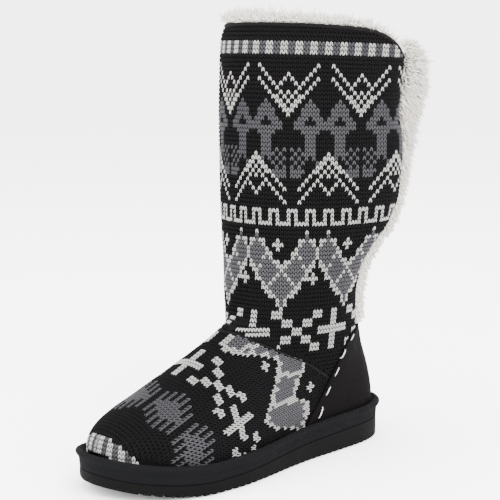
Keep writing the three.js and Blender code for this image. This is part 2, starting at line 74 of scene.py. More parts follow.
# height, front line, back line, half width, squareness of the back half
LEG_SECTIONS = np.array([
    [15, 18, 108, 25, 2.1], [45, 8, 111, 32, 2.1], [75, 2, 110, 38, 2.1], [100, -1, 106, 41, 2.1],
    [120, -1, 104, 43, 2.2], [136, -0.5, 106, 45, 2.4], [150, 0, 113, 48, 2.6], [168, 0, 128, 53, 2.8],
    [190, -0.5, 137, 56, 2.9], [225, -1, 140, 57, 2.9], [250, -1, 135, 57, 2.9], [288, -0.5, 140, 57, 2.9],
    [303, 1, 140, 57, 2.9], [318, 6, 139, 56, 2.8], [345, 5, 138, 55, 2.8],
])
# station, height of the seam between vamp and shaft
SEAM = np.array([
    [-40, 112], [-14, 97.5], [-8, 93.5], [4, 86.5], [19, 79.5], [34, 72.5], [46, 65], [61, 55], [80, 40],
    [104, 18],
])
# station, height of the knit's top edge
TOP_EDGE = np.array([[-30, 315], [40, 311.5], [74, 309], [92, 305], [107, 299], [124, 290], [180, 284]])


def curve(xs, ys):
    """A smooth curve through a column of a table: cubic pieces whose slope at each row is the harmonic mean
    of its neighbours' slopes, or level where those turn, so it never overshoots."""
    step = np.diff(xs)
    slope = np.diff(ys) / step
    product = slope[:-1] * slope[1:]
    total = np.where(product > 0, slope[:-1] + slope[1:], 1)
    inner = np.where(product > 0, 2 * product / total, 0)
    tangent = np.concatenate([slope[:1], inner, slope[-1:]])

    def value(x):
        x = np.clip(x, xs[0], xs[-1])
        i = np.clip(np.searchsorted(xs, x, side="right") - 1, 0, len(xs) - 2)
        t = (x - xs[i]) / step[i]
        rise = (2 * t**3 - 3 * t**2 + 1) * ys[i] + (3 * t**2 - 2 * t**3) * ys[i + 1]
        return rise + step[i] * ((t**3 - 2 * t**2 + t) * tangent[i] + (t**3 - t**2) * tangent[i + 1])

    return value


def curves(table):
    """The smooth curves through a table's columns, over its first one."""
    return [curve(table[:, 0].astype(float), column) for column in table[:, 1:].T.astype(float)]


outline_by_angle = np.column_stack([np.arccos(1 - 2 * SOLE_OUTLINE[:, 0]), SOLE_OUTLINE[:, 1:]])
sole_edges = dict(zip((1, -1), curves(outline_by_angle)))
[wedge] = curves(OUTSOLE_WEDGE)


def share_of(y):
    """Share of the sole's length from the heel, at a station."""
    return np.clip((HALF_LENGTH - y) / SOLE_LENGTH, 0, 1)


def floor_line(y):
    """Underside of the outsole: flat, then rising to the toe spring as a square."""
    return TOE_SPRING * (np.maximum(share_of(y) - SPRING_START, 0) / (1 - SPRING_START)) ** 2


def glue_line(y):
    """Top of the outsole: its underside plus the wedge's thickness."""
    return floor_line(y) + wedge(share_of(y))


def feather_line(y):
    """Top of the midsole, where the upper stands."""
    return glue_line(y) + MIDSOLE_HEIGHT


def skirt_line(y):
    """Lower edge of what stands behind the midsole's bead."""
    return feather_line(y) - SKIRT


def outline_points(angle, side, offset):
    """Points of the sole's edge by angle, moved out square to the edge by the offset."""
    before, after = np.maximum(angle - ANGLE_STEP, 0), np.minimum(angle + ANGLE_STEP, np.pi)
    edge = sole_edges[side]
    dx = edge(after) - edge(before)
    dy = HALF_LENGTH * (np.cos(after) - np.cos(before))
    length = np.hypot(dx, dy)
    x = edge(angle) - side * dy * offset / length
    return x, HALF_LENGTH * np.cos(angle) + side * dx * offset / length


def edge_by_station(side, offset):
    """Stations from heel to toe and the sole's edge at each, moved out by the offset."""
    edge_x, edge_y = outline_points(np.linspace(np.pi, 0, OUTLINE_STEPS), side, offset)
    return np.maximum.accumulate(edge_y), edge_x


feather_edges = {side: edge_by_station(side, -FEATHER_INSET) for side in (1, -1)}
ridge_height, ridge_side = curves(FOOT_RIDGE)
leg_front, leg_back, leg_half_width, leg_squareness = curves(LEG_SECTIONS)
seam_height, top_height = curves(SEAM) + curves(TOP_EDGE)


def leg_middle(z):
    """Middle of the leg from front to back, at a height."""
    return (leg_front(z) + leg_back(z)) / 2


def upper_value(x, y, z):
    """Signed distance-like value of the upper: below zero inside. The leg is an ellipse at each height,
    squarer in its back half, and the foot an arch at each station. The two are joined by a smooth
    minimum over the blend radius."""
    middle, half_depth = leg_middle(z), (leg_back(z) - leg_front(z)) / 2
    power = np.where(y > middle, leg_squareness(z), FRONT_SQUARENESS)
    ring = np.abs(x / leg_half_width(z)) ** power + np.abs((y - middle) / half_depth) ** power
    leg = np.hypot(x, y - middle) * (1 - 1 / np.maximum(ring ** (1 / power), 1e-6))
    station = np.clip(y, -FOOT_END, FOOT_END)
    ridge = ridge_side(station)
    across = x - ridge
    outer = np.interp(station, *feather_edges[1]) - ridge
    inner = ridge - np.interp(station, *feather_edges[-1])
    base = feather_line(station)
    up = np.maximum(z - base, 0)
    rise = np.maximum(ridge_height(station) - base, 0.5)
    width = np.maximum(np.where(across >= 0, outer, inner), 0.5)
    arch = np.abs(across / width) ** ARCH_SIDE_POWER + (up / rise) ** ARCH_TOP_POWER
    mean_power = (ARCH_SIDE_POWER + ARCH_TOP_POWER) / 2
    foot = np.hypot(across, up) * (1 - 1 / np.maximum(arch ** (1 / mean_power), 1e-6))
    foot = foot + np.maximum(np.abs(y) - FOOT_END, 0)
    share = np.clip(0.5 + 0.5 * (leg - foot) / BLEND_RADIUS, 0, 1)
    return leg * (1 - share) + foot * share - BLEND_RADIUS * share * (1 - share)


def halve(low, high, under, halvings):
    """Halves the range between low and high towards the value up to which under holds."""
    for _ in range(halvings):
        middle = (low + high) / 2
        holds = under(middle)
        low, high = np.where(holds, middle, low), np.where(holds, high, middle)
    return low


def walk_out(place, offset, shape, reach):
    """Points where the upper's value reaches the offset on rays, given as a function of the distance."""
    far = np.full(shape, reach)
    return np.stack(place(halve(far * 0, far, lambda d: upper_value(*place(d)) < offset, RAY_HALVINGS)), -1)


def unit(vectors):
    """Vectors divided by their own lengths."""
    return vectors / np.linalg.norm(vectors, axis=-1, keepdims=True)


def run_along(points):
    """Length run along each row of points, from its first one."""
    steps = np.linalg.norm(np.diff(points, axis=-2), axis=-1)
    return np.concatenate([np.zeros((*steps.shape[:-1], 1)), np.cumsum(steps, -1)], -1)


def normals(points, size=0.05):
    """Outward unit normals of the upper at points near its surface, from differences of its value."""
    slope = []
    for axis in np.eye(3) * size:
        ahead, behind = np.moveaxis(points + axis, -1, 0), np.moveaxis(points - axis, -1, 0)
        slope.append(upper_value(*ahead) - upper_value(*behind))
    return unit(np.stack(slope, -1))


def linear(code):
    """Linear colour of an sRGB hex code."""
    parts = [int(code[i:i + 2], 16) / 255 for i in (1, 3, 5)]
    return [c / 12.92 if c <= 0.04045 else ((c + 0.055) / 1.055) ** 2.4 for c in parts] + [1.0]


def add(material, kind, inputs=(), **settings):
    """Adds a shader node, with its settings by name. An input holds a value or another node's output."""
    node = material.node_tree.nodes.new(kind)
    for key, value in settings.items():
        setattr(node, key, value)
    for key, value in dict(inputs).items():
        if isinstance(value, bpy.types.NodeSocket):
            material.node_tree.links.new(value, node.inputs[key])
        else:
            node.inputs[key].default_value = value
    return node


def finish(name, colour, roughness, specular, sheen=0.0):
    """Makes a material with one shader, in one colour, and returns it."""
    material = bpy.data.materials.new(name)
    material.use_nodes = True
    inputs = {"Base Color": linear(colour), "Roughness": roughness}
    inputs |= {"Specular IOR Level": specular, "Sheen Weight": sheen}
    for key, value in inputs.items():
        material.node_tree.nodes["Principled BSDF"].inputs[key].default_value = value
    return material


def into_shader(material, output, key):
    """Links a node's output to one input of the material's shader."""
    material.node_tree.links.new(output, material.node_tree.nodes["Principled BSDF"].inputs[key])


def bump(material, height, distance, strength):
    """Raises the surface by a height, as a bump so many metres deep."""
    sizes = {"Height": height, "Distance": distance, "Strength": strength}
    into_shader(material, add(material, "ShaderNodeBump", sizes).outputs["Normal"], "Normal")


def grain_of(material, scale):
    """Noise on the object's own coordinates, so many grains a metre."""
    place = add(material, "ShaderNodeTexCoord").outputs["Object"]
    inputs = {"Vector": place, "Scale": scale, "Detail": 3.0}
    return add(material, "ShaderNodeTexNoise", inputs).outputs["Fac"]


def grained(material, scale, distance, strength=1.0):
    """Gives a material a grain, as a bump, and returns it."""
    bump(material, grain_of(material, scale), distance, strength)
    return material


def signed_volume(points, face_sets):
    """Volume inside the faces, negative where they face inwards, from the cones between face and origin."""
    total = 0.0
    for faces in face_sets:
        first = points[faces[:, 0]]
        for j in range(1, faces.shape[1] - 1):
            total += (first * np.cross(points[faces[:, j]], points[faces[:, j + 1]])).sum()
    return total / 6


def make_piece(name, points, face_sets, material, slot_name, replaced=(), smooth=True):
    """Makes a mesh from points in millimetres and arrays of faces, each array with one number of corners."""
    if signed_volume(points, face_sets) < 0:
        face_sets = [faces[:, ::-1] for faces in face_sets]
    mesh = bpy.data.meshes.new(name)
    corners = np.concatenate([faces.ravel() for faces in face_sets]).astype(np.int32)
    counts = np.concatenate([np.full(len(faces), faces.shape[1]) for faces in face_sets])
    mesh.vertices.add(len(points))
    mesh.vertices.foreach_set("co", (np.asarray(points) * MILLIMETRE).ravel())
    mesh.loops.add(len(corners))
    mesh.loops.foreach_set("vertex_index", corners)
    mesh.polygons.add(len(counts))
    mesh.polygons.foreach_set("loop_start", np.cumsum(counts) - counts)
    mesh.polygons.foreach_set("use_smooth", np.full(len(counts), smooth))
    mesh.update(calc_edges=True)
    mesh.materials.append(material)
    piece = bpy.data.objects.new(name, mesh)
    bpy.context.scene.collection.objects.link(piece)
    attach(piece, "root")
    if replaced:
        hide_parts(*replaced)
    return piece


def grid_faces(rows, columns, start=0, wrap=False):
    """Quads of a grid of points, row by row. With wrap, the last column joins the first."""
    index = np.arange(rows * columns).reshape(rows, columns) + start
    before, after = index, np.roll(index, -1, axis=1)
    if not wrap:
        before, after = before[:, :-1], after[:, :-1]
    return np.stack([before[:-1], after[:-1], after[1:], before[1:]], -1).reshape(-1, 4)


def shell(outer, inner, wrap):
    """Points and faces of a closed sheet between two grids of points. Their rows go up and their columns
    anticlockwise round the boot seen from above."""
    rows, columns = outer.shape[:2]
    count = rows * columns
    faces = [grid_faces(rows, columns, 0, wrap), grid_faces(rows, columns, count, wrap)[:, ::-1]]
    index = np.arange(count).reshape(rows, columns)
    rims = [(index[0], 1), (index[-1], -1)]
    if not wrap:
        rims += [(index[:, 0], -1), (index[:, -1], 1)]
    for rim, way in rims:
        before, after = (rim, np.roll(rim, -1)) if wrap else (rim[:-1], rim[1:])
        faces.append(np.stack([after, before, before + count, after + count], -1)[:, ::way])
    return np.concatenate([outer.reshape(-1, 3), inner.reshape(-1, 3)]), faces


# the backing is the felted inner face of the knit, and each stitch on it is two plump legs of yarn
LEG_CENTRE = 52.0
RAY_REACH = 150.0
WALE = 2.7
COURSE = 3.07
COURSE_DROP = 0.028
BACKING_SINK = 1.0
WALL = 3.0
LEG_ROWS = 46
STITCH_TOP = 0.66
STITCH_FOOT = 0.62
STITCH_TOP_SPREAD = 0.06
STITCH_FOOT_SPREAD = 0.42
STITCH_SINK = 0.8
YARN_HALF_WIDTH = 0.18
YARN_HALF_HEIGHT = 0.5
# share of a stitch's leg at each of its two rings, and their lift
YARN_RINGS = [(0.28, 0.62), (0.72, 0.56)]


def leg_point(turn, height, offset, reach=RAY_REACH):
    """Points of the upper by the turn about the leg's axis, from the front, and the height."""
    height = np.broadcast_to(height, np.shape(turn))

    def place(d):
        return [np.sin(turn) * d, LEG_CENTRE - np.cos(turn) * d, height]

    return walk_out(place, offset, np.shape(turn), reach)


def height_on(turn, edge, offset, low=17.0, high=330.0):
    """The height at which the leg, at each turn, crosses an edge that is a function of the station."""

    def under(height):
        return height < edge(leg_point(turn, height, offset)[..., 1])

    low, high = np.full(np.shape(turn), low), np.full(np.shape(turn), high)
    return halve(low, high, under, EDGE_HALVINGS)


def shaft_foot(y):
    """Lower edge of the shaft: the seam, but never under the midsole's top."""
    return np.maximum(seam_height(y), skirt_line(y))


def leg_sheet(turn, rows, offset, low_edge, high_edge):
    """Grid of points between two edges of the leg, at an offset from its surface."""
    low = height_on(turn, low_edge, offset)
    high = height_on(turn, high_edge, offset)
    share = np.linspace(0, 1, rows)[:, None]
    heights = low + (high - low) * share
    return leg_point(np.broadcast_to(turn, heights.shape), heights, offset)


yarns = {
    "black": finish("black_wool_yarn", "#080708", 0.9, 0.06),
    "charcoal": finish("charcoal_wool_yarn", "#2d2c2f", 0.9, 0.08, 0.05),
    "grey": finish("grey_wool_yarn", "#323134", 0.9, 0.08, 0.05),
    "white": finish("pale_wool_yarn", "#7a7a78", 0.9, 0.08, 0.05),
}
for yarn in yarns.values():
    grained(yarn, 2600.0, 0.0002, 0.5)
backing = grained(finish("felted_knit_back", "#050505", 0.95, 0.06), 900.0, 0.0005)

leg_turn = np.linspace(-np.pi, np.pi, 181)[:-1]
sheets = [leg_sheet(leg_turn, LEG_ROWS, offset, shaft_foot, top_height) for offset in (-BACKING_SINK, -WALL)]
make_piece("shaft_backing", *shell(*sheets, wrap=True), backing, "knit", ["shaft"])


def stitches(name, centres, axes, colours, widths):
    """Lays the stitches in yarn, one piece for each colour, their wales along the axes. A stitch has two
    spindle legs, wider apart at the bottom, each of two rings of four points and two sunk tips."""
    out = normals(centres)
    across = unit(np.cross(axes, out))
    along = np.cross(out, across)
    widths = widths[:, None]
    section = np.array([[1, 0], [0, 1], [-1, 0], [0, -1]]) * [YARN_HALF_WIDTH, YARN_HALF_HEIGHT]
    sunk = centres - out * STITCH_SINK
    legs = []
    for side in (-1, 1):
        top = sunk + across * (side * STITCH_TOP_SPREAD * widths) + along * (STITCH_TOP * COURSE)
        bottom = sunk + across * (side * STITCH_FOOT_SPREAD * widths) - along * (STITCH_FOOT * COURSE)
        line = bottom - top
        beside = unit(np.cross(line, out))
        rings = []
        for share, lift in YARN_RINGS:
            middle = top + line * share + out * lift
            rings += [middle + beside * (wide * widths) + out * high for wide, high in section]
        legs.append(np.stack([top, *rings, bottom], 1))
    legs = np.concatenate(legs)
    colours = np.concatenate([colours, colours])
    ring = np.arange(4)
    after = (ring + 1) % 4
    top_tip = np.stack([ring * 0, 1 + after, 1 + ring], -1)
    bottom_tip = np.stack([5 + ring, 5 + after, ring * 0 + 9], -1)
    tips = np.concatenate([top_tip, bottom_tip])
    sides = grid_faces(2, 4, 1, True)
    for index, (colour, material) in enumerate(yarns.items()):
        chosen = legs[colours == index]
        if len(chosen) == 0:
            continue
        starts = (np.arange(len(chosen)) * legs.shape[1])[:, None, None]
        faces = [(tips + starts).reshape(-1, 3), (sides + starts).reshape(-1, 4)]
        make_piece(f"{name}_{colour}_yarn", chosen.reshape(-1, 3), faces, material, "knit")


BLACK, CHARCOAL, GREY, WHITE = range(4)
SHAFT_TOP_COURSE = 93
# half width of a tree's head in each of its courses, from the top
TREE_HALF_WIDTHS = [0, 1, 2, 2, 3, 4, 4, 2]


def within(value, low, high):
    """Whether a value lies from low to high, both included."""
    return (value >= low) & (value <= high)


def mirrored(wale, period):
    """Distance of a wale from the nearest middle of a repeat."""
    return np.abs((wale + period / 2) % period - period / 2)


def cross_band(wale, r):
    """A band ten courses high of block crosses and plus signs, by the wale from a cross's middle and the
    distance from the middle of the band."""
    step, arm = wale % 24, np.abs(r)
    k = np.minimum(step, 24 - step)
    blocks = (arm < 1) & (k <= 1)
    blocks |= (arm > 1) & (arm < 3) & within(k, 2, 4)
    blocks |= (arm > 3) & within(k, 5, 7)
    return blocks | (step == 11) | (step == 12) | ((arm < 1.2) & within(step, 7, 16))


def shaft_chart(wale, course):
    """Yarn of each stitch of the leg. Wales count from a motif's middle and courses down from the top
    of the chevrons."""
    k, row = mirrored(wale, 20), course
    chart = np.full(wale.shape, BLACK)
    welt_stripes = within(row, -5, -3)
    chart[welt_stripes] = CHARCOAL
    chart[welt_stripes & ((wale + 2) % 4 < 2)] = WHITE

    # trees between the chevrons, with a lacy patch under each chevron's point
    beside = np.abs(k - 6)
    head = within(row, 8, 15) & (beside <= np.array(TREE_HALF_WIDTHS)[np.clip(row - 8, 0, 7)])
    hole = within(row, 12, 13) & (beside <= row - 12)
    stem = within(row, 15, 20) & (beside <= 1)
    patch = within(row, 19, 25) & within(k, 1, 4) & ((k + row) % 2 == 0)
    patch |= within(row, 24, 25) & within(k, 1, 3)
    link = within(row, 21, 23) & within(k, 4, 8) & (np.abs(beside - row + 20) < 1)
    chart[(head & ~hole) | stem | patch | link] = CHARCOAL

    # chevrons, point down from the top, and point up from below
    for r, c in ((row, k), (31 - row, mirrored(wale - 11, 20))):
        outer = (c == 8 - r) & within(r, 0, 5)
        inner = (c == 11 - r) & within(r, 3, 11)
        cross = (c == r - 2) & within(r, 2, 5)
        dots = ((r == 6) | (r == 8)) & ((c == 0) | (c == 2))
        dots |= (r == 7) & ((c == 1) | (c == 3))
        dots |= ((r == 9) & (c == 1)) | (within(r, 10, 11) & (c == 0))
        chart[outer | inner | cross | dots] = WHITE

    # key border
    step = wale % 5
    key = (row == 33) & (step < 3)
    key |= within(row, 34, 35) & ((step == 0) | (step == 2))
    key |= (row == 36) & (step != 1)
    chart[key] = WHITE

    # zigzag of lozenges with a pale outline, jagged from wale to wale, and a pale line where two meet
    k = mirrored(wale + 2, 20)
    reaches = []
    for middle, level in ((7, 43), (4, 47), (0, 51)):
        reaches.append(np.abs(k - middle) / 3.9 + np.abs(row - level) / 4.5)
    nearest, second = np.sort(reaches, axis=0)[:2]
    chart[nearest < 1.12 + 0.1 * (wale % 2)] = WHITE
    chart[(nearest < 0.92) & (second - nearest > 0.25) & (k < 10)] = GREY
    k = mirrored(wale + 3, 20)
    for middle, level in ((0, 41), (10, 49)):
        plus = (np.abs(k - middle) <= 1) & (row == level)
        chart[plus | ((k == middle) & (np.abs(row - level) <= 1))] = WHITE

    # bottom band of crosses, plain knit under it
    r = row - 57
    band = within(r, 0, 9)
    chart[band | (r > 9)] = BLACK
    chart[band & cross_band(wale - 3, r - 4.5)] = WHITE
    return chart


def leg_course_points(course, turn):
    """Points of the leg along a course, which drops a little towards the back."""

    def place(d):
        y = LEG_CENTRE - np.cos(turn) * d
        return [np.sin(turn) * d, y, course * COURSE - COURSE_DROP * y]

    return walk_out(place, 0.0, np.shape(turn), RAY_REACH)


def wale_turns(places, below, above, turn):
    """Turn of each wale in each course, from the lengths run along the courses, one table for places below
    zero and one for the others. It is nan where the course has ended."""
    rows = []
    for low_run, high_run in zip(below, above):
        low = np.interp(places, low_run, turn, left=np.nan)
        rows.append(np.where(places < 0, low, np.interp(places, high_run, turn, right=np.nan)))
    return np.array(rows)


# below the ankle the side's wales keep their distance from the front
ANKLE_COURSE = 38
# height, half width of the plush panel up the back, depth of its pile
BACK_PANEL = np.array([
    [86, 21, 6], [130, 24, 9], [170, 30, 9.5], [215, 34, 11], [235, 35, 18], [258, 36, 27], [280, 37, 29],
    [292, 37, 24], [304, 38, 11], [330, 39, 1],
])
PANEL_BOTTOM = 90.5
PANEL_OVERLAP = 4.0
PANEL_COVER = 5.0
SEAM_ALLOWANCE = 1.5
HEM_ALLOWANCE = 1.0
panel_half_width, panel_pile = curves(BACK_PANEL)
MOTIF_PLACE = 37.8
# wale, its place round the leg from the motif's middle: the knit is stretched towards the back
WALE_PLACES = np.array([
    [-90, -214], [-20, -48.5], [-10, -25.7], [0, 0.3], [10, 26.9], [20, 58.4], [25, 77.5], [30, 98],
    [60, 219],
])
courses = np.arange(6, 105)
DEGREES = 361
INNER_SIDE, FRONT, OUTER_SIDE = 90, 180, 270
fine_turn = np.linspace(-np.pi, np.pi, DEGREES)
arc = run_along(leg_course_points(*np.broadcast_arrays(courses[:, None], fine_turn)))
outer_reach = arc[:, OUTER_SIDE] - arc[:, FRONT]
inner_reach = arc[:, FRONT] - arc[:, INNER_SIDE]
ankle = ANKLE_COURSE - courses[0]
outer_reach[:ankle], inner_reach[:ankle] = outer_reach[ankle], inner_reach[ankle]
outer_girth = arc - arc[:, [OUTER_SIDE]] + outer_reach[:, None]
inner_girth = arc - arc[:, [INNER_SIDE]] - inner_reach[:, None]
wales = np.arange(-90, 61)
wale_place = MOTIF_PLACE + curves(WALE_PLACES)[0](wales)
wale_widths = np.maximum(np.gradient(wale_place), WALE)
turns = wale_turns(wale_place, inner_girth, outer_girth, fine_turn)
i, j = np.nonzero(np.isfinite(turns))
centres = leg_course_points(courses[i], turns[i, j])
x, y, z = centres.T
kept = (z > shaft_foot(y) + SEAM_ALLOWANCE) & (z < top_height(y) - HEM_ALLOWANCE)
under_pile = (y > LEG_CENTRE) & (np.abs(x) < panel_half_width(z) - PANEL_COVER)
kept &= ~(under_pile & (z > PANEL_BOTTOM + PANEL_COVER))
centres, i, j = centres[kept], i[kept], j[kept]
colours = shaft_chart(wales[j], SHAFT_TOP_COURSE - courses[i])
stitches("shaft", centres, [0.0, 0.0, 1.0], colours, wale_widths[j])


# Vamp: the knitted foot
# A second piece of the same knit, its wales along the foot, from the toe to the seam under the ankle. Its
# lower edge goes down behind the midsole's bead, and round the toe its first rows are striped.
VAMP_BACK = 92.0
THROAT = -13.5
ARCH_DROP = -0.2
ARCH_REACH = 170.0
TOE_COURSES = 2


def arch_point(y, turn, offset):
    """Points of the upper at a station, by the turn from the outer side over the top."""
    base, ridge = feather_line(y), ridge_side(y)

    def place(d):
        return [ridge + np.cos(turn) * d, y, base + np.sin(turn) * d]

    return walk_out(place, offset, np.shape(turn), ARCH_REACH)


def side_arch(y, turn, side, offset):
    """Points of the upper at a station, by the turn from the sole up on one side."""
    return arch_point(y, turn if side > 0 else np.pi - turn, offset)


def turn_on_seam(y, side):
    """Turn from the sole up at which the upper at a station reaches the seam, on one side."""

    def under(turn):
        return side_arch(y, turn, side, 0.0)[..., 2] < seam_height(y)

    return halve(np.zeros_like(y), np.full_like(y, np.pi / 2), under, EDGE_HALVINGS)


def vamp_sheet(offset, columns=101, rows=31, lift_start=0.97):
    """Grid of points from the midsole up to the seam, from the inner back end round the toe to the outer."""
    share = np.linspace(0, 1, columns)
    foot = (VAMP_BACK - FOOT_END) / 2 + (VAMP_BACK + FOOT_END) / 2 * np.cos(np.pi * share)
    seam = VAMP_BACK + (THROAT - VAMP_BACK) * share
    lift = np.clip((share - lift_start) / (1 - lift_start), 0, 1)
    foot_turn = ARCH_DROP + (np.pi / 2 - ARCH_DROP) * lift
    up = np.linspace(0, 1, rows)[:, None]
    y = foot + (seam - foot) * up
    halves = []
    for side in (-1, 1):
        seam_turn = turn_on_seam(seam, side)
        seam_turn[-1] = np.pi / 2
        turn = foot_turn + (seam_turn - foot_turn) * up
        halves.append(side_arch(y, turn, side, offset))
    return np.concatenate([halves[0], halves[1][:, -2::-1]], 1)


sheets = [vamp_sheet(offset) for offset in (-BACKING_SINK, -WALL)]
make_piece("vamp_backing", *shell(*sheets, wrap=False), backing, "knit", ["vamp"])


# wale, lower edge and upper edge of the lozenge band by the seam, in courses from the toe
SEAM_BAND = np.array([
    [3, 38, 70], [5, 36.5, 70], [8.5, 38, 70], [11.5, 41.5, 70], [13.5, 46, 70], [16, 49.5, 70], [18, 49, 61],
    [21.5, 47, 59], [24, 45, 57], [27.5, 42, 55], [29.5, 40.5, 61], [33, 45.5, 61], [34.5, 51, 60],
    [37, 59, 59.5],
])
# wale, course and lean of each pale line across the band
SEAM_BAND_LINES = [(9.5, 43, 0.25), (20.5, 53, 0.1), (27, 49, 0.15)]
# reach of each wale of a toe tree from its middle course, from the tree's middle outwards
TREE_SPIKES = [3, 6, 2, 5, 1, 4, 0]


def vamp_chart(wale, course):
    """Yarn of each stitch of the foot, by wales from the ridge, alike on both sides, and courses."""
    side = 0.5 + np.abs(wale + 0.5)
    chart = np.full(wale.shape, BLACK)

    # spiky trees across the toe, each wale with a spike of its own length
    beside = mirrored(-wale - 10, 13)
    spike = np.array(TREE_SPIKES)[beside.astype(int)]
    level = 15.5 + 0.004 * np.maximum(side - 8, 0) ** 2
    chart[np.abs(course - level) <= spike] = CHARCOAL

    # band of crosses over the instep, bent back towards the sole
    level = 29.5 + 0.0075 * np.maximum(side - 10, 0) ** 2
    r = np.round(course - level + 0.5) - 0.5
    chart[(np.abs(r) < 5) & cross_band(side - 13, r)] = WHITE

    # lozenges in a band below the seam, with a jagged pale outline
    edges = [np.interp(side, SEAM_BAND[:, 0], SEAM_BAND[:, i]) for i in (1, 2)]
    jag = 1.1 * (wale % 2)
    band = within(side, 3, 37) & within(course, *edges)
    chart[band] = GREY
    chart[band & ((course < edges[0] + 1.2 + jag) | (course > edges[1] - 1.2 - jag) | (side < 4.5))] = WHITE
    for middle, level, lean in SEAM_BAND_LINES:
        chart[band & (np.abs(side - middle - lean * (course - level)) < 0.6)] = WHITE
    for middle, level in ((16, 45), (20, 65), (26, 62)):
        plus = (np.abs(side - middle) <= 1) & (course == level)
        chart[plus | ((side == middle) & (np.abs(course - level) <= 1))] = WHITE
    return chart


# distance from the middle of the toe, height that its own rows of stitches reach
TOE_REACH = np.array([[0, 13], [5, 12.3], [16, 9.8], [24, 6.8], [31, 2.0], [34, 0], [60, 0]])
TOE_MIDDLE = (-9.0, -92.0)
TOE_BACK = -104.0
TOE_TURN = 1.9
# the ridge's climb in one step of the stations, in front of the throat and behind it
FOOT_CLIMB = 9.0
LEG_CLIMB = 0.25
TOE_WALE = 2.45
TOE_FRONT = 14.0
TOE_RAY = 60.0


def toe_point(turn, height):
    """Points of the toe by the turn about an upright axis behind it, and the height over the midsole."""

    def place(d):
        y = TOE_MIDDLE[1] - np.cos(turn) * d
        return [TOE_MIDDLE[0] + np.sin(turn) * d, y, feather_line(y) + height]

    return walk_out(place, 0.0, np.shape(turn), TOE_RAY)


def in_toe(points, height):
    """Whether points lie among the toe's own rows, by their height over the midsole."""
    reach = np.interp(np.abs(points[..., 0] - TOE_MIDDLE[0]), *TOE_REACH.T)
    return (points[..., 1] < TOE_BACK) & (height < reach)


stations = np.linspace(-FOOT_END + 0.5, VAMP_BACK, 600)
crest = ridge_height(stations)
climb = np.minimum(np.diff(crest), np.where(stations[1:] < THROAT, FOOT_CLIMB, LEG_CLIMB))
along_ridge = np.concatenate([[0], np.cumsum(np.hypot(np.diff(stations), climb))])
foot_courses = np.arange(0, int(along_ridge[-1] / COURSE))
course_stations = np.interp(foot_courses * COURSE, along_ridge, stations)
arch_turn = np.linspace(ARCH_DROP, np.pi - ARCH_DROP, 241)
arches = arch_point(*np.broadcast_arrays(course_stations[:, None], arch_turn), 0.0)
arc = run_along(arches)
crown = len(arch_turn) // 2
throat = np.searchsorted(course_stations, THROAT)
to_outer, to_inner = arc[:, crown] - arc[:, 0], arc[:, -1] - arc[:, crown]
to_outer[throat:], to_inner[throat:] = to_outer[throat], to_inner[throat]
arc_outer = arc - arc[:, :1] - to_outer[:, None]
arc_inner = arc - arc[:, -1:] + to_inner[:, None]
wales = np.arange(-50, 51)
turns = wale_turns(wales * WALE, arc_outer, arc_inner, arch_turn)
i, j = np.nonzero(np.isfinite(turns))
centres = arch_point(course_stations[i], turns[i, j], 0.0)
x, y, z = centres.T
over_rim = z - feather_line(y)
kept = (z < seam_height(y) - SEAM_ALLOWANCE) | (y < THROAT)
kept &= (over_rim > -SKIRT) & ~in_toe(centres, over_rim)
centres, i, j = centres[kept], i[kept], j[kept]
colours = vamp_chart(wales[j], foot_courses[i] - TOE_COURSES)

# the toe's first rows run round it, in pale and dark stripes
toe_turn = np.linspace(-TOE_TURN, TOE_TURN, 301)
run = run_along(toe_point(toe_turn, 0.0))
toe_wales = np.arange(-26, 27)
turns = np.interp(toe_wales * TOE_WALE + run[len(run) // 2], run, toe_turn)
wale_grid, row_grid = np.meshgrid(toe_wales, np.arange(-1, 4))
height = (row_grid + 0.5) * COURSE
toe = toe_point(np.broadcast_to(turns, wale_grid.shape), height)
aside = np.abs(toe[..., 0] - TOE_MIDDLE[0])
kept = in_toe(toe, height) & ((row_grid >= 0) | (aside > TOE_FRONT))
toe, toe_stripe = toe[kept], wale_grid[kept] % 4
toe_colours = np.where((toe_stripe == 1) | (toe_stripe == 2), WHITE, CHARCOAL)
toe_colours[aside[kept] > TOE_REACH[-2, 0]] = BLACK
axes = np.repeat([[0.0, 1.0, 0.0], [0.0, 0.0, 1.0]], [len(centres), len(toe)], axis=0)
centres = np.concatenate([centres, toe])
colours = np.concatenate([colours, toe_colours])
stitches("vamp", centres, axes, colours, np.full(len(centres), WALE))


# Seams of the knit
# The shaft is sewn to the vamp with its edge turned under, and the knit's top edge is turned in over the
# plush. Each shows as a thin roll of the black knit.
SEAM_RADIUS = 1.0
HEM_RADIUS = 1.5
ROLL_SINK = 0.9
SEAM_BACK = 88
TUBE_UP = [0.3, 0.2, 1.0]


def tube(path, radius, sides=8):
    """Points and faces of a round cord along a path, closed at both ends with a point."""
    way = unit(np.gradient(path, axis=0))
    side = unit(np.cross(way, TUBE_UP))
    other = np.cross(way, side)
    turn = np.linspace(0, 2 * np.pi, sides, endpoint=False)[:, None]
    rings = path[:, None] + radius * (np.cos(turn) * side[:, None] + np.sin(turn) * other[:, None])
    count = len(path) * sides
    points = np.concatenate([rings.reshape(-1, 3), path[:1], path[-1:]])
    ring = np.arange(sides)
    after = (ring + 1) % sides
    last = count - sides
    ends = [np.stack([after, ring, ring * 0 + count], -1)]
    ends.append(np.stack([ring + last, after + last, ring * 0 + count + 1], -1))
    return points, [grid_faces(len(path), sides, 0, True), np.concatenate(ends)]


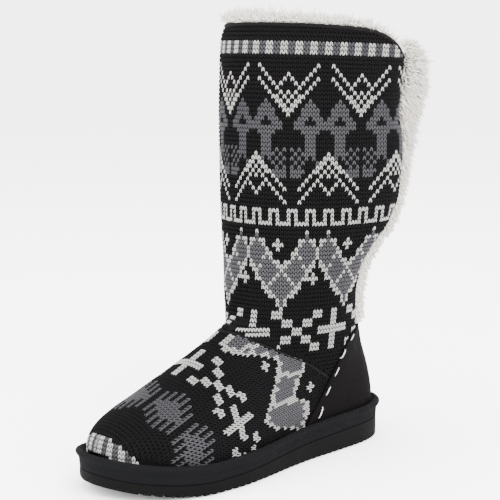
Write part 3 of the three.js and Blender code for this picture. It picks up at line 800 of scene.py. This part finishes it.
seam_y = np.linspace(SEAM_BACK, THROAT, 60)
outer, inner = [side_arch(seam_y, turn_on_seam(seam_y, side), side, -ROLL_SINK) for side in (1, -1)]
seam_path = np.concatenate([outer[:-1], inner[::-1]])
make_piece("seam_roll", *tube(seam_path, SEAM_RADIUS), yarns["black"], "knit")
hem_path = leg_point(leg_turn, height_on(leg_turn, top_height, 0.0), -ROLL_SINK)
hem_path = np.concatenate([hem_path, hem_path[:1]])
make_piece("hem_roll", *tube(hem_path, HEM_RADIUS), yarns["black"], "knit")


# Heel counter
# A cupped panel of black brushed suede over the heel. Its front edge is folded back on itself and held by
# a running stitch of pale thread.
COUNTER_WALL = 1.7
COUNTER_FRONT = 1.15
FOLD_WIDTH = 5.0
FOLD_OVERHANG = 0.6
FOLD_RISE = 0.9
FOLD_SINK = 0.2
FOLD_STEPS = 40
THREAD_RADIUS = 0.5
THREAD_DIP = 1.6
SIDE_REACH = 90.0
# station, height of the counter's edge
COUNTER_EDGE = np.array([
    [30, 14], [34, 26], [47, 40], [55.5, 52], [61, 62.6], [67, 73], [73, 82.5], [80, 87.5], [92, 89.5],
    [180, 93],
])
# station and height of the two ends of each stitch
RUNNING_STITCHES = np.array([
    [[81.4, 87.1], [75.4, 82.5]], [[69.8, 77.2], [65.4, 70.6]], [[64.3, 64.9], [60.2, 57.2]],
    [[57.4, 51.2], [52.4, 43.8]], [[50.2, 36.4], [45.3, 28.2]],
])
[counter_top] = curves(COUNTER_EDGE)


def counter_height(y):
    """Upper edge of the counter, never under the midsole's top."""
    return np.maximum(counter_top(y), skirt_line(y))


def side_point(y, z, side, offset):
    """Points of the upper by station and height, on one side, from rays square to the boot's length."""
    y, z = np.broadcast_arrays(np.asarray(y, float), np.asarray(z, float))
    return walk_out(lambda d: [side * d, y, z], offset, y.shape, SIDE_REACH)


def joined(parts):
    """Points and faces of several parts as one mesh."""
    points, quads, triangles, start = [], [], [], 0
    for part_points, (part_quads, part_triangles) in parts:
        points.append(part_points)
        quads.append(part_quads + start)
        triangles.append(part_triangles + start)
        start += len(part_points)
    return np.concatenate(points), [np.concatenate(quads), np.concatenate(triangles)]


suede = grained(finish("black_brushed_suede", "#080707", 0.95, 0.02), 900.0, 0.0004)
counter_turn = np.linspace(COUNTER_FRONT, 2 * np.pi - COUNTER_FRONT, 121)
sheets = [leg_sheet(counter_turn, 30, offset, skirt_line, counter_height) for offset in (COUNTER_WALL, 0.0)]
make_piece("heel_counter_suede", *shell(*sheets, wrap=False), suede, "suede", ["heel_counter"])

edge_height = np.linspace(24, 88.5, FOLD_STEPS)
edge_station = np.interp(edge_height, COUNTER_EDGE[1:-1, 1], COUNTER_EDGE[1:-1, 0])
fold_share = np.linspace(0, 1, 7)
for side, side_name in ((1, "outer"), (-1, "inner")):
    y = edge_station[:, None] - FOLD_OVERHANG + FOLD_WIDTH * fold_share
    crown = COUNTER_WALL + FOLD_RISE * np.sqrt(np.maximum(1 - (2 * fold_share - 1) ** 4, 0))
    sheets = [side_point(y, edge_height[:, None], side, offset) for offset in (crown, FOLD_SINK)]
    make_piece(f"counter_fold_{side_name}", *shell(*sheets, wrap=False), suede, "suede")

thread = finish("pale_waxed_thread", "#8f9397", 0.6, 0.2)
dashes = []
for side in (-1, 1):
    for start, end in RUNNING_STITCHES:
        share = np.linspace(0, 1, 9)[:, None]
        y, z = (start + (end - start) * share).T
        lift = COUNTER_WALL + FOLD_RISE - THREAD_DIP * (2 * share[:, 0] - 1) ** 6
        dashes.append(tube(side_point(y, z, side, lift), THREAD_RADIUS))
make_piece("counter_stitches", *joined(dashes), thread, "suede")


# Midsole
# A band of foam under the whole boot, wrapped in black herringbone twill that ends in a rounded bead. The
# upper stands in the groove behind the bead.
TWILL_COLUMN = 5.0
TWILL_RIB = 1.8
TWILL_DARK = "#040405"
TWILL_LIGHT = "#121214"
GROOVE_DEPTH = 3.4
# share of the height, offset from the outline
MIDSOLE_SIDE = np.array([
    [0, -3.0], [0, -0.6], [0.08, 0], [0.3, 0.3], [0.5, 0.6], [0.56, 0.9], [0.61, 1.6], [0.68, 2.4],
    [0.76, 2.8], [0.84, 2.6], [0.91, 1.9], [0.96, 0.9], [0.97, 0], [0.94, -1.2], [0.86, -2.2], [0.76, -3.4],
    [1 - GROOVE_DEPTH / MIDSOLE_HEIGHT, -9.0],
])


def outline_loop(offset, count=240):
    """Points round the sole, anticlockwise seen from above, moved out by an offset."""
    angle = np.linspace(0, np.pi, count // 2 + 1)
    outer = np.stack(outline_points(angle, 1, offset), -1)
    inner = np.stack(outline_points(angle, -1, offset), -1)
    return np.concatenate([inner[:-1], outer[:0:-1]])


def ring_solid(rings):
    """Points and faces of a solid through rings of points from the bottom up, closed at both ends."""
    rows, columns = rings.shape[:2]
    index = np.arange(rows * columns).reshape(rows, columns)
    return rings.reshape(-1, 3), [grid_faces(rows, columns, 0, True), index[:1, ::-1], index[-1:]]


def sole_ring(offset, share):
    """Ring of the sole's outline at an offset, at a share of the midsole's height."""
    loop = outline_loop(offset)
    return np.column_stack([loop, glue_line(loop[:, 1]) + share * MIDSOLE_HEIGHT])


def lay_uv(piece, places, round_length):
    """Lays a UV map in millimetres. Faces that close a loop run on past its length."""
    mesh = piece.data
    corner = np.empty(len(mesh.loops), np.int32)
    mesh.loops.foreach_get("vertex_index", corner)
    first = np.empty(len(mesh.polygons), np.int32)
    mesh.polygons.foreach_get("loop_start", first)
    face = np.searchsorted(first, np.arange(len(corner)), side="right") - 1
    uv = places[corner]
    longest = np.full(len(first), -np.inf)
    np.maximum.at(longest, face, uv[:, 0])
    uv[:, 0] += np.where(longest[face] - uv[:, 0] > round_length / 2, round_length, 0)
    mesh.uv_layers.new(name="weave").data.foreach_set("uv", uv.astype(np.float32).ravel())


def herringbone(material):
    """A herringbone twill: ribs that lean one way in a column and the other way in the next, in millimetres
    on the weave's own map, as a bump and a slightly lighter tone."""

    def maths(operation, first, second=0.0):
        return add(material, "ShaderNodeMath", {0: first, 1: second}, operation=operation).outputs[0]

    place = add(material, "ShaderNodeUVMap", uv_map="weave").outputs["UV"]
    split = add(material, "ShaderNodeSeparateXYZ", {"Vector": place}).outputs
    phase = maths("ADD", split["X"], maths("PINGPONG", split["Y"], TWILL_COLUMN))
    rib = maths("SINE", maths("MULTIPLY", phase, 2 * np.pi / TWILL_RIB))
    bump(material, maths("ADD", grain_of(material, 1500.0), rib), 0.00035, 0.8)
    tone = add(material, "ShaderNodeMapRange", {"Value": rib, "From Min": -1.0}).outputs[0]
    colours = {"Fac": tone, "Color1": linear(TWILL_DARK), "Color2": linear(TWILL_LIGHT)}
    into_shader(material, add(material, "ShaderNodeMixRGB", colours).outputs[0], "Base Color")


twill = finish("black_herringbone_twill", "#070708", 0.9, 0.02)
herringbone(twill)
rings = np.stack([sole_ring(offset, share) for share, offset in MIDSOLE_SIDE])
wrap = make_piece("midsole_wrap", *ring_solid(rings), twill, "twill_wrap", ["midsole"])
girth = run_along(rings[2])
round_length = girth[-1] + np.linalg.norm(rings[2][0] - rings[2][-1])
climb = np.cumsum(np.linalg.norm(np.diff(rings, axis=0, prepend=rings[:1]), axis=2).mean(1))
lay_uv(wrap, np.stack(np.broadcast_arrays(girth, climb[:, None]), -1).reshape(-1, 2), round_length)


# Outsole
# A black rubber wedge, deep at the heel and thin at the toe, with narrow grooves across its tread that
# notch its lower edge.
TREAD_PITCH = 6.4
TREAD_HALF_WIDTH = 1.0
TREAD_DEPTH = 1.7
TREAD_SLOPE = 0.5
BEVEL_WIDTH = 1.6
BEVEL_HEIGHT = 1.5
rubber = grained(finish("black_moulded_rubber", "#060606", 0.8, 0.03), 900.0, 0.0002)
grooves = (np.arange(-19, 19) + 0.5)[:, None] * TREAD_PITCH
groove_mouth = TREAD_HALF_WIDTH + TREAD_SLOPE
groove_edges = [-groove_mouth, -TREAD_HALF_WIDTH, TREAD_HALF_WIDTH, groove_mouth]
ends = HALF_LENGTH * np.cos(np.linspace(0, np.pi, 60))
tread_y = np.unique(np.concatenate([(grooves + groove_edges).ravel(), ends]).round(3))
groove_gap = np.abs(tread_y - grooves).min(0)
cut = TREAD_DEPTH * np.clip((groove_mouth - groove_gap) / TREAD_SLOPE, 0, 1)
outer, inner = [np.interp(tread_y, *edge_by_station(side, 0)) for side in (1, -1)]
bevel = np.minimum(BEVEL_WIDTH, (outer - inner) / 2)
under, above = floor_line(tread_y), glue_line(tread_y)
notch = under + np.maximum(cut, BEVEL_HEIGHT)
section = [
    (outer - bevel, under + cut), (outer, notch), (outer, above),
    (inner, above), (inner, notch), (inner + bevel, under + cut),
]
rings = np.stack([np.column_stack([x, tread_y, z]) for x, z in section], 1)
make_piece("outsole_rubber", *ring_solid(rings), rubber, "foam_rubber", ["outsole"], smooth=False)


# Plush back panel and collar
# Long white plush: a panel up the back of the leg, whose pile rolls out over the knit, and the collar that
# the lining makes round the top. Each has a soft body with combed locks of pile on it.
PILE_ROUNDNESS = 4
PILE_EDGE_SINK = 1.5
PANEL_TOP = 304.0
PANEL_RISE = 9.0
BACK_REACH = 140.0
SEED = 7
rng = np.random.default_rng(SEED)
plush = grained(finish("white_long_pile_plush", "#bfb9b2", 0.95, 0.1, 0.1), 500.0, 0.0008)


def back_point(x, z, offset):
    """Points of the leg's back, by sideways place and height."""
    x, z = np.broadcast_arrays(x, z)
    return walk_out(lambda d: [x, LEG_CENTRE + d, z], offset, x.shape, BACK_REACH)


def pile_depth(x, z):
    """Depth of the pile over the leg: a dome that falls off at the panel's two long edges."""
    across = np.minimum(np.abs(x) / (panel_half_width(z) + PANEL_OVERLAP), 1)
    return panel_pile(z) * np.sqrt(1 - across**PILE_ROUNDNESS) - PILE_EDGE_SINK * across**8


def panel_points(across, height, depth_share, lift):
    """Points over the back panel, by the share of its half width and the height."""
    x = across * (panel_half_width(height) + PANEL_OVERLAP)
    z = np.minimum(height, top_height(back_point(x, height, 0.0)[..., 1]) + PANEL_RISE)
    points = back_point(x, z, 0.0)
    return points + normals(points) * (pile_depth(x, z) * depth_share + lift)[..., None]


def panel_sheet(depth_share, lift, rows=70, columns=41):
    """Grid over the back panel, its columns from the outer side to the inner one."""
    height = np.linspace(PANEL_BOTTOM, PANEL_TOP, rows)[:, None]
    across = np.cos(np.linspace(0, np.pi, columns))[None]
    return panel_points(*np.broadcast_arrays(across, height), depth_share, lift)


# share of a lock's length at each of its rings, and the share of its width there
LOCK_RINGS = [(0.0, 1.0), (0.34, 0.85), (0.68, 0.55)]


def pile(name, roots, ways, lengths, radii, droop=0.45, curl=0.25):
    """Locks of pile: three-sided, tapered, bent down and curled, each a little its own way."""
    count = len(roots)
    ways = unit(ways)
    bend = rng.normal(0, curl, (count, 3)) - [0, 0, droop]
    side = unit(np.cross(ways, rng.normal(0, 1, (count, 3))))
    other = np.cross(ways, side)
    rings = []
    for share, width in LOCK_RINGS:
        middle = roots + (ways * share + bend * share**2) * lengths[:, None]
        for turn in np.arange(3) * 2 * np.pi / 3:
            rings.append(middle + (np.cos(turn) * side + np.sin(turn) * other) * (radii * width)[:, None])
    tips = roots + (ways + bend) * lengths[:, None]
    points = np.stack([*rings, tips], 1)
    triangles = np.array([[0, 2, 1], [6, 7, 9], [7, 8, 9], [8, 6, 9]])
    starts = (np.arange(count) * points.shape[1])[:, None, None]
    faces = [(grid_faces(3, 3, 0, True) + starts).reshape(-1, 4), (triangles + starts).reshape(-1, 3)]
    make_piece(name, points.reshape(-1, 3), faces, plush, "plush")


body = shell(panel_sheet(0.9, 0.3), panel_sheet(0.0, -1.0), wrap=False)
make_piece("back_panel_plush", *body, plush, "plush", ["back_panel"])
PANEL_LOCKS = 12000
TOP_LOCKS = 1500
LOCK_ROOT = 0.87
LOCK_RADII = (0.7, 1.3)
LOCKS_BOTTOM = 93.5
LOCKS_TOP = 302
EDGE_SHARE = 0.998
FINE = 0.02
# height, and the locks' upward lean and length there
LOCK_LEAN = np.array([[100, -0.5], [260, -0.3], [285, 0.2], [300, 0.9]])
LOCK_LENGTH = np.array([[90, 3], [130, 3.5], [170, 4.5], [230, 6], [300, 7]])
across = EDGE_SHARE * np.sin(rng.uniform(-1, 1, PANEL_LOCKS) * np.pi / 2)
height = rng.uniform(LOCKS_BOTTOM, LOCKS_TOP, PANEL_LOCKS)
root_depth = np.full(PANEL_LOCKS, LOCK_ROOT)
height[:TOP_LOCKS] = LOCKS_TOP
root_depth[:TOP_LOCKS] = LOCK_ROOT * rng.uniform(0, 1, TOP_LOCKS)
roots = panel_points(across, height, root_depth, 0.0)
here = panel_points(across, height, LOCK_ROOT, 0.0)
below = panel_points(across, height - FINE, LOCK_ROOT, 0.0) - here
beside = panel_points(across - FINE, height, LOCK_ROOT, 0.0) - here
ways = np.cross(below, beside)
out = normals(roots)
ways *= np.where((ways * out).sum(1) < 0, -1, 1)[:, None]
ways = ways / np.maximum(np.linalg.norm(ways, axis=1, keepdims=True), 1e-9) * 0.8 + out * 0.4
ways[:, 2] += np.interp(height, *LOCK_LEAN.T)
ways[:TOP_LOCKS] = out[:TOP_LOCKS] * 0.5 + [0, 0, 1]
lengths = np.interp(height, *LOCK_LENGTH.T) * rng.uniform(0.6, 1.2, PANEL_LOCKS)
ways += rng.normal(0, 0.22, (PANEL_LOCKS, 3))
pile("back_panel_pile", roots, ways, lengths, rng.uniform(*LOCK_RADII, PANEL_LOCKS))

# turn from the front, rise of the collar's pile over the knit's top edge
COLLAR_RISE = np.array([[-180, 7], [-100, 8], [-40, 11], [0, 12], [25, 11], [70, 10], [130, 9], [180, 8]])
# offset from the leg's surface, share of the rise, and depth from there, round the collar's section
COLLAR_SECTION = [
    (-3.3, 0, 40), (-3.3, 0, 0), (-3.0, 0.25, 0), (-4.5, 0.5, 0), (-7.0, 0.6, 0), (-9.5, 0.4, 0),
    (-10.5, 0, 4), (-9.5, 0, 40),
]
[collar_rise] = curves(COLLAR_RISE)


def collar_points(turn, offset, lift):
    """Points round the top of the leg at an offset from its surface, lifted from the knit's top edge."""
    height = height_on(turn, top_height, 0.0)
    points = leg_point(turn, height - 1.0, offset)
    points[:, 2] += lift
    return points


rise = collar_rise(np.degrees(leg_turn))
rings = [collar_points(leg_turn, offset, rise * share - depth) for offset, share, depth in COLLAR_SECTION]
count = len(leg_turn)
# the last ring joins the first
faces = grid_faces(len(rings) + 1, count, 0, True) % (len(rings) * count)
make_piece("collar_plush_roll", np.concatenate(rings), [faces], plush, "plush", ["collar_plush"])
COLLAR_LOCKS = 5200
turn = rng.uniform(-np.pi, np.pi, COLLAR_LOCKS)
inward = rng.uniform(0, 1, COLLAR_LOCKS)
rise = collar_rise(np.degrees(turn))
lift = np.maximum(rise * (0.55 - 1.2 * (inward - 0.5) ** 2) - 2.5, 2.5)
roots = collar_points(turn, -3.2 - 7.0 * inward, lift)
out = normals(roots)
ways = out * (0.65 - 1.5 * inward)[:, None] + [0, 0, 0.9] + rng.normal(0, 0.25, (COLLAR_LOCKS, 3))
lengths = (3.0 + 0.5 * rise) * rng.uniform(0.7, 1.25, COLLAR_LOCKS)
pile("collar_pile", roots, ways, lengths, rng.uniform(*LOCK_RADII, COLLAR_LOCKS), droop=0.25)


# Plush lining
# The same plush lines the whole boot, pile inwards, sewn in under the knit's turned top edge. It is seen
# down through the collar.
LINING_OUTER = -3.2
LINING_INNER = -5.0
LINING_FOOT = 36.0
LINING_REACH = 190.0
COLLAR_DEPTH = 38.0
lining_top = height_on(leg_turn, top_height, 0.0) - 4.0
lining_height = LINING_FOOT + (lining_top - LINING_FOOT) * np.linspace(0, 1, 40)[:, None]
lining_turn = np.broadcast_to(leg_turn, lining_height.shape)
outer = leg_point(lining_turn, lining_height, LINING_OUTER, LINING_REACH)
inner = leg_point(lining_turn, lining_height, LINING_INNER, LINING_REACH)
make_piece("lining_plush", *shell(outer, inner, wrap=True), plush, "plush")
LINING_LOCKS = 2600
DEEP_LOCKS = 6500
turn = rng.uniform(-np.pi, np.pi, LINING_LOCKS)
upper_roots = collar_points(turn, -9.8, -COLLAR_DEPTH * rng.uniform(0.05, 1, LINING_LOCKS))
turn = rng.uniform(-np.pi, np.pi, DEEP_LOCKS)
depth = rng.uniform(0, 1, DEEP_LOCKS)
top = height_on(turn, top_height, 0.0) - COLLAR_DEPTH
deep_roots = leg_point(turn, LINING_FOOT + (top - LINING_FOOT) * depth, LINING_INNER + 0.2, LINING_REACH)
roots = np.concatenate([upper_roots, deep_roots])
count = len(roots)
ways = -normals(roots) * 0.8 + rng.normal(0, 0.15, (count, 3)) - [0, 0, 0.3]
pile("lining_pile", roots, ways, rng.uniform(5, 8, count), rng.uniform(0.9, 1.5, count), curl=0.12)


# Floor, light and camera
# A pale sweep of paper under three soft studio lights in a bright white room, seen from the photograph's
# place through a long lens.
CAMERA_DISTANCE = 1.0
CAMERA_HEIGHT = 0.300
CAMERA_TURN = np.radians(45.78)
CAMERA_PITCH = np.radians(8.306)
FRAME_PIXELS = 500
FOCAL_PIXELS = 1413.2
SHIFT_PIXELS = -9.41
SENSOR = 36.0
FLOOR_REACH = 4.0
ROOM_BRIGHTNESS = 5.0
LIGHTS_AIM = (0, 0, 0.15)
# name, place, size and power
LIGHTS = [
    ("key_light", (1.5, -0.6, 1.6), 1.6, 108.0),
    ("fill_light", (-0.4, -1.8, 1.2), 1.8, 61.0),
    ("top_light", (0.2, 0.3, 2.2), 2.0, 81.0),
]

floor_mesh = bpy.data.meshes.new("floor")
floor_corners = [(x * FLOOR_REACH, y * FLOOR_REACH, 0) for x, y in ((-1, -1), (1, -1), (1, 1), (-1, 1))]
floor_mesh.from_pydata(floor_corners, [], [(0, 1, 2, 3)])
floor = bpy.data.objects.new("floor", floor_mesh)
floor_mesh.materials.append(finish("pale_studio_paper", "#fbfbfa", 0.95, 0.2))
bpy.context.scene.collection.objects.link(floor)

for name, place, size, power in LIGHTS:
    lamp = bpy.data.lights.new(name, "AREA")
    lamp.size, lamp.energy = size, power
    light = bpy.data.objects.new(name, lamp)
    light.location = place
    aim = Vector(LIGHTS_AIM) - light.location
    light.rotation_euler = aim.to_track_quat("-Z", "Y").to_euler()
    bpy.context.scene.collection.objects.link(light)
world = bpy.data.worlds.new("studio")
world.use_nodes = True
background = world.node_tree.nodes["Background"].inputs
background["Color"].default_value = linear("#ffffff")
background["Strength"].default_value = ROOM_BRIGHTNESS
bpy.context.scene.world = world

camera_data = bpy.data.cameras.new("camera")
camera_data.sensor_width = SENSOR
camera_data.lens = FOCAL_PIXELS / FRAME_PIXELS * SENSOR
camera_data.shift_x = -SHIFT_PIXELS / FRAME_PIXELS
camera = bpy.data.objects.new("camera", camera_data)
aside, ahead = np.sin(CAMERA_TURN) * CAMERA_DISTANCE, -np.cos(CAMERA_TURN) * CAMERA_DISTANCE
camera.location = (aside, ahead, CAMERA_HEIGHT)
camera.rotation_euler = (np.pi / 2 - CAMERA_PITCH, 0, CAMERA_TURN)
bpy.context.scene.collection.objects.link(camera)
bpy.context.scene.camera = camera
